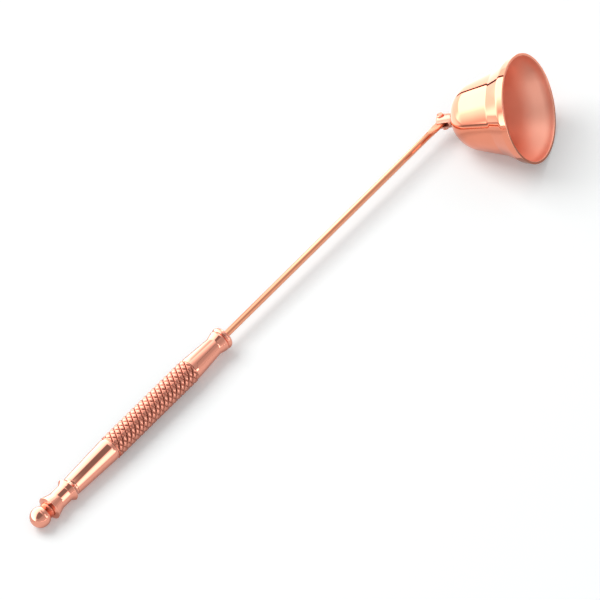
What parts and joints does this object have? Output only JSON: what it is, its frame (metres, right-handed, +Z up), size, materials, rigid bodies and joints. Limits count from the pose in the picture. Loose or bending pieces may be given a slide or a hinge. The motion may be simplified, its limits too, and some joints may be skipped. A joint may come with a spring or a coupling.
{
  "type": "candle snuffer",
  "caption": "Bell candle snuffer: a flared bell swings in a fork on a slim rod with a turned, knurled handle that ends in a ball.",
  "frame": {"origin": "bottom centre of the bounding box, on the table that the snuffer lies on", "axes": "+X along the rod towards the bell, +Z up, the bell's mouth facing -Y and upwards"},
  "size_m": [0.259, 0.0448, 0.0377],
  "materials": {
    "bell_plating": "rose gold plating, mirror outside and satin inside",
    "polished_plating": "rose gold plating, mirror polished",
    "satin_plating": "rose gold plating over a textured or satin surface"
  },
  "bodies": {
    "handle": {"snuffer_rod": "polished_plating", "rod_collar": "polished_plating", "front_barrel": "polished_plating", "knurled_grip": "satin_plating", "tail_barrel": "polished_plating", "finial_spindle": "polished_plating", "finial_ball": "polished_plating"},
    "bell": {"bell_cup": "bell_plating", "fork_stud": "polished_plating", "crown_washer": "satin_plating", "crown_nut": "satin_plating", "pivot_pin": "polished_plating"}
  },
  "joints": [
    {"name": "bell_swing", "type": "hinge", "parent": "handle", "child": "bell", "pos_m": [0.09681, 0.01772, 0.00677], "axis": [0.0089, -0.3842, -0.9232], "range_deg": [-175, 44]}
  ]
}
